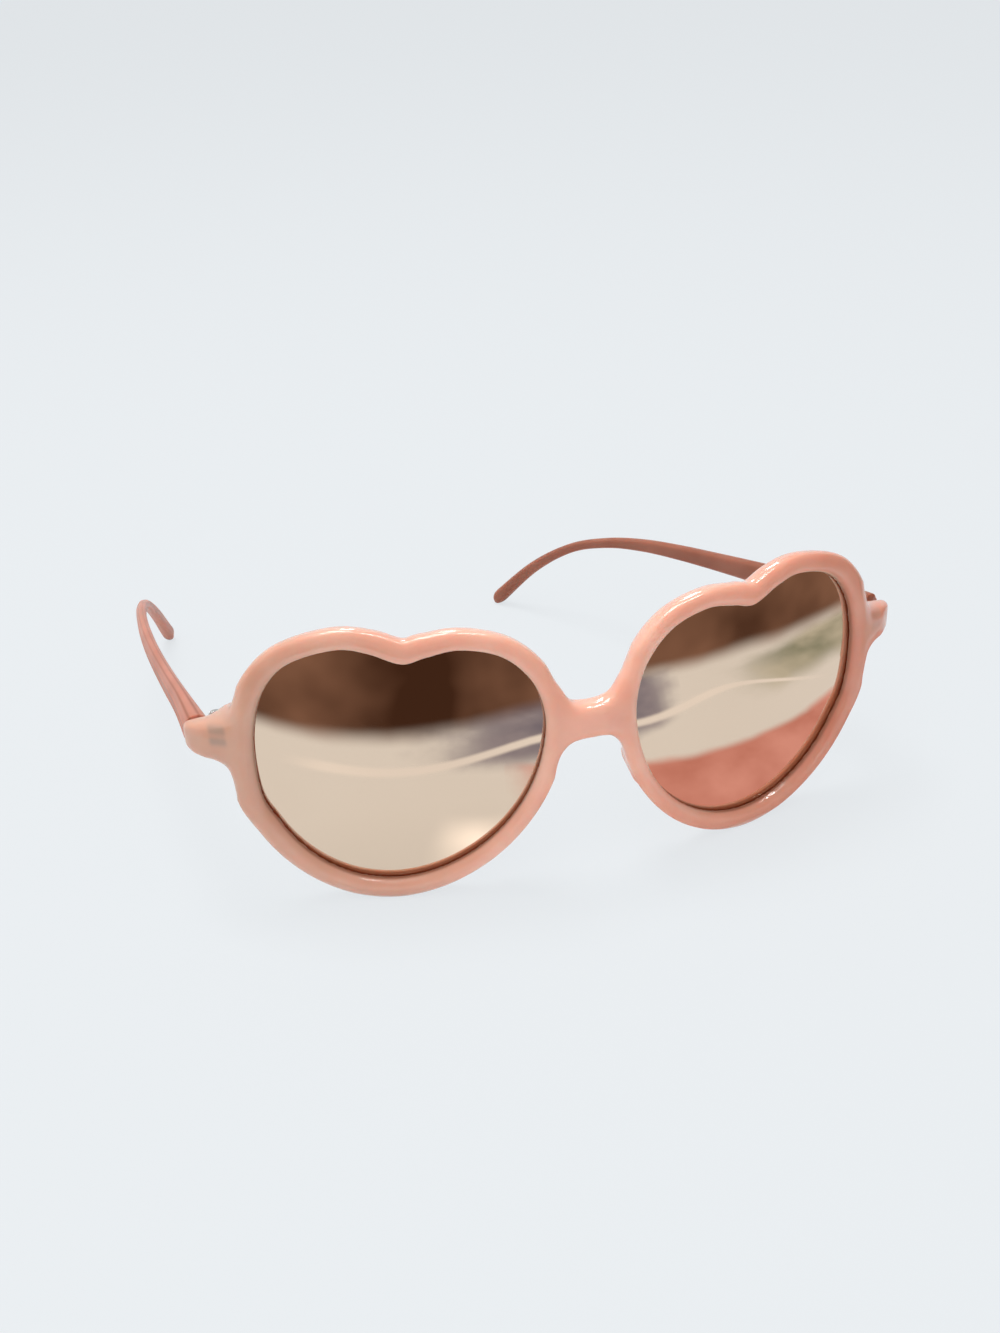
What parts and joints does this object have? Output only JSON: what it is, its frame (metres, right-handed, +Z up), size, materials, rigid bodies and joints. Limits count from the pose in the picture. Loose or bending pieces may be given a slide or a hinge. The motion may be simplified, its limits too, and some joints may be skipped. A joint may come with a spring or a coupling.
{
  "type": "heart shaped sunglasses",
  "caption": "Sunglasses with a moulded front of two heart shaped rims on a curved base, mirrored lenses seated in grooves, and slim temples that fold on screwed steel hinges.",
  "frame": {"origin": "middle of the bounding box, on the floor that the glasses stand on", "axes": "+X to the wearer's left, +Y from the lenses towards the ears, +Z up"},
  "size_m": [0.1448, 0.1362, 0.0582],
  "materials": {
    "front_plastic": "milky translucent, polished",
    "temple_plastic": "milky translucent, polished",
    "lens_mirror": "rose-brown mirror film on a dark tint",
    "hinge_steel": "plain bright",
    "screw_steel": "turned bright"
  },
  "bodies": {
    "front": {"front_frame": "front_plastic", "lens_left": "lens_mirror", "lens_right": "lens_mirror", "front_hinge_left": "hinge_steel", "front_hinge_right": "hinge_steel", "hinge_screw_left": "screw_steel", "hinge_screw_right": "screw_steel"},
    "left_temple": {"temple_left": "temple_plastic", "temple_hinge_left": "hinge_steel"},
    "right_temple": {"temple_right": "temple_plastic", "temple_hinge_right": "hinge_steel"}
  },
  "joints": [
    {"name": "left_fold", "type": "hinge", "parent": "front", "child": "left_temple", "pos_m": [0.06601, -0.04455, 0.03617], "axis": [0, 0.0039, 1], "range_deg": [-24, 62]},
    {"name": "right_fold", "type": "hinge", "parent": "front", "child": "right_temple", "pos_m": [-0.06279, -0.04455, 0.03617], "axis": [0, -0.0039, -1], "range_deg": [0, 92]}
  ]
}
